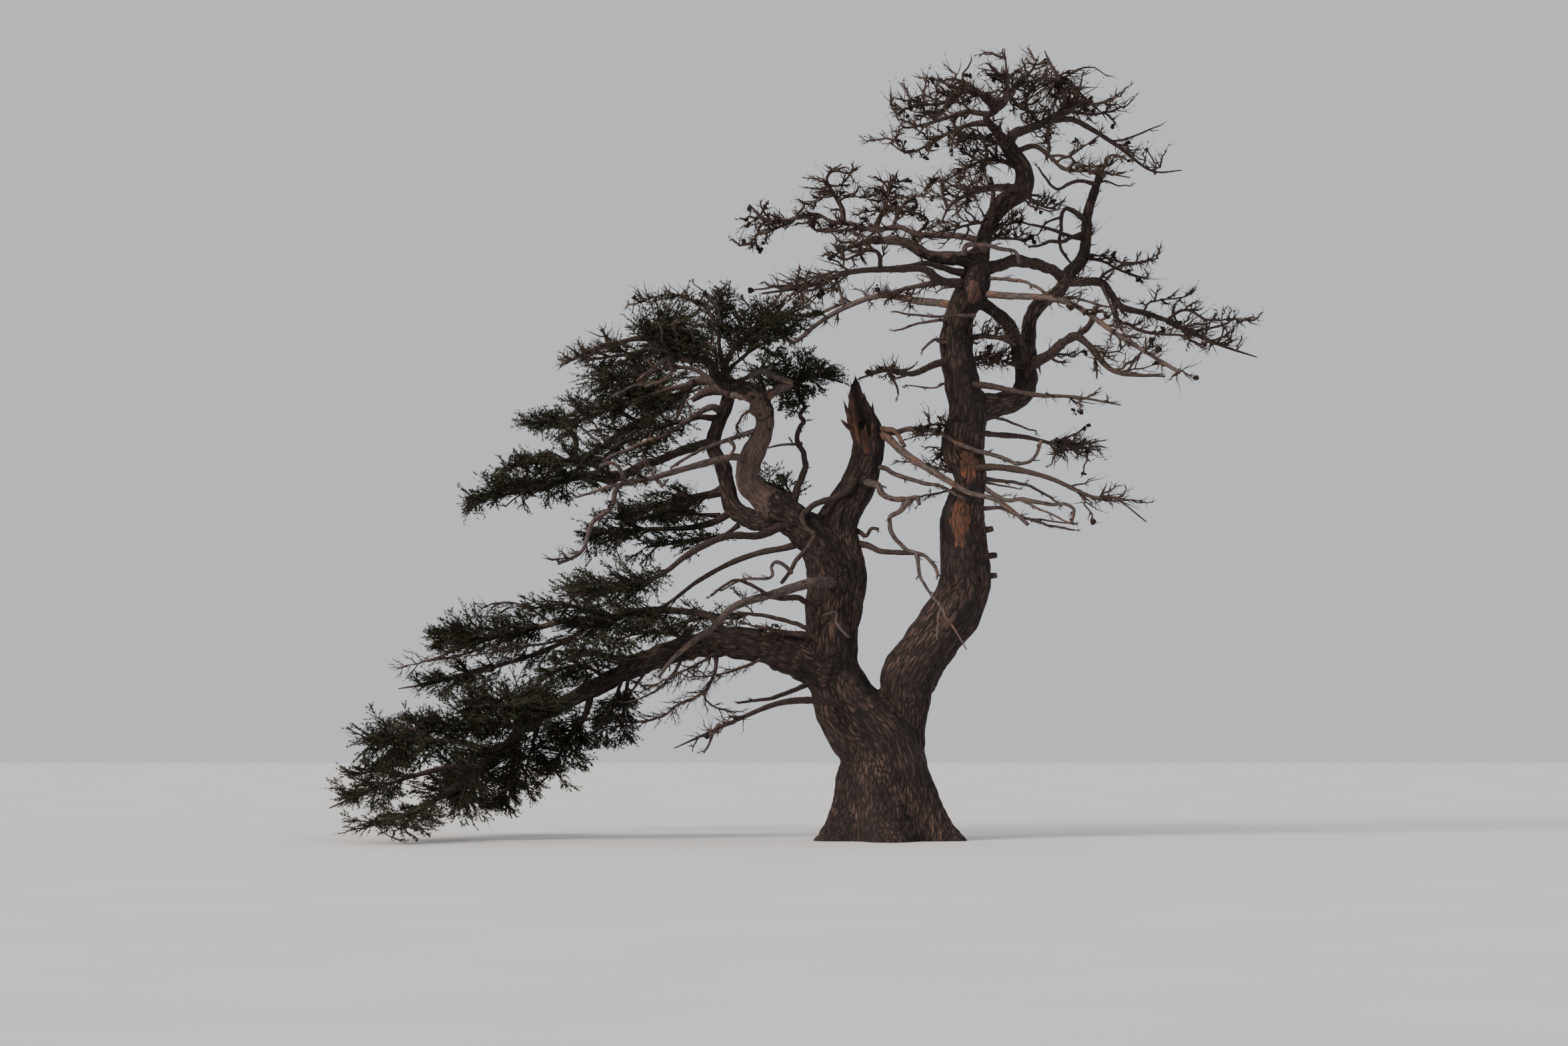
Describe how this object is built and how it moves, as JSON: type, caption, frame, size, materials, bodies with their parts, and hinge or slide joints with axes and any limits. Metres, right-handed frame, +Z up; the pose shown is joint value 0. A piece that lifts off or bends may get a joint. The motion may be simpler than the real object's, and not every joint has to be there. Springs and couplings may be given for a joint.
{
  "type": "spanish fir tree",
  "caption": "Very old, wind-shaped Spanish fir: twin trunks from one root, a broken snag, west boughs with sprays of needles and a bare east crown of dead twigs.",
  "frame": {"origin": "The middle of the flat cut at ground level under the foot that both trunks share.", "axes": "+Z up along the height of the tree, -Y towards the viewer of the picture, +X to the viewer's right, the side of the bare crown. The boughs with needles trail to -X."},
  "size_m": [14.164, 7.2361, 12.145],
  "materials": {
    "bark": "rough dark grey-brown bark in plates",
    "dead_wood": "weathered silver-grey bare wood",
    "needles": "matt dark olive-green needles",
    "bare_twigs": "matt dark brown twigs"
  },
  "bodies": {
    "root": {"back_fork_foliage": "needles", "big_bough_twigs": "bare_twigs", "crest_foliage": "needles", "crest_tip_foliage": "needles", "crossing_bough": "dead_wood", "crown_hooked_twigs": "bare_twigs", "crown_left_bough": "bark", "crown_left_twigs": "bare_twigs", "crown_lower_left_twigs": "bare_twigs", "crown_outer_twigs": "bare_twigs", "crown_right_bough": "bark", "crown_right_twigs": "bare_twigs", "crown_side_twigs": "bare_twigs", "crown_top_twigs": "bare_twigs", "dark_bough_foliage": "needles", "east_bent_bough": "dead_wood", "east_big_bough": "bark", "east_far_bough": "bark", "east_left_twigs": "bare_twigs", "east_trunk": "bark", "far_bough_dense_twigs": "bare_twigs", "far_bough_tip_twigs": "bare_twigs", "far_bough_upright_twigs": "bare_twigs", "fork_foliage": "needles", "front_hanging_bough": "dead_wood", "hook_foliage": "needles", "inner_bough_foliage": "needles", "level_bough_twigs": "bare_twigs", "long_bough_foliage": "needles", "long_bough_tip_foliage": "needles", "low_bough": "bark", "low_bough_end": "bark", "low_end_foliage": "needles", "low_far_tip_foliage": "needles", "low_front_twigs": "bare_twigs", "low_hanging_foliage": "needles", "low_inner_foliage": "needles", "low_middle_foliage": "needles", "low_outer_foliage": "needles", "low_upper_bough": "bark", "low_upper_foliage": "needles", "low_upper_tip_foliage": "needles", "right_back_twigs": "bare_twigs", "right_drooping_twigs": "bare_twigs", "right_forked_twigs": "bare_twigs", "right_long_bough": "bark", "right_long_tip_twigs": "bare_twigs", "right_low_bough": "dead_wood", "right_pale_twigs": "bare_twigs", "second_leader": "bark", "second_leader_knee": "bark", "second_leader_prong": "bark", "under_bough_foliage": "needles", "west_back_fork": "bark", "west_crest_bough": "bark", "west_dark_bough": "bark", "west_drooping_bough": "dead_wood", "west_fork": "bark", "west_long_bough": "bark", "west_trunk": "bark"}
  },
  "joints": []
}
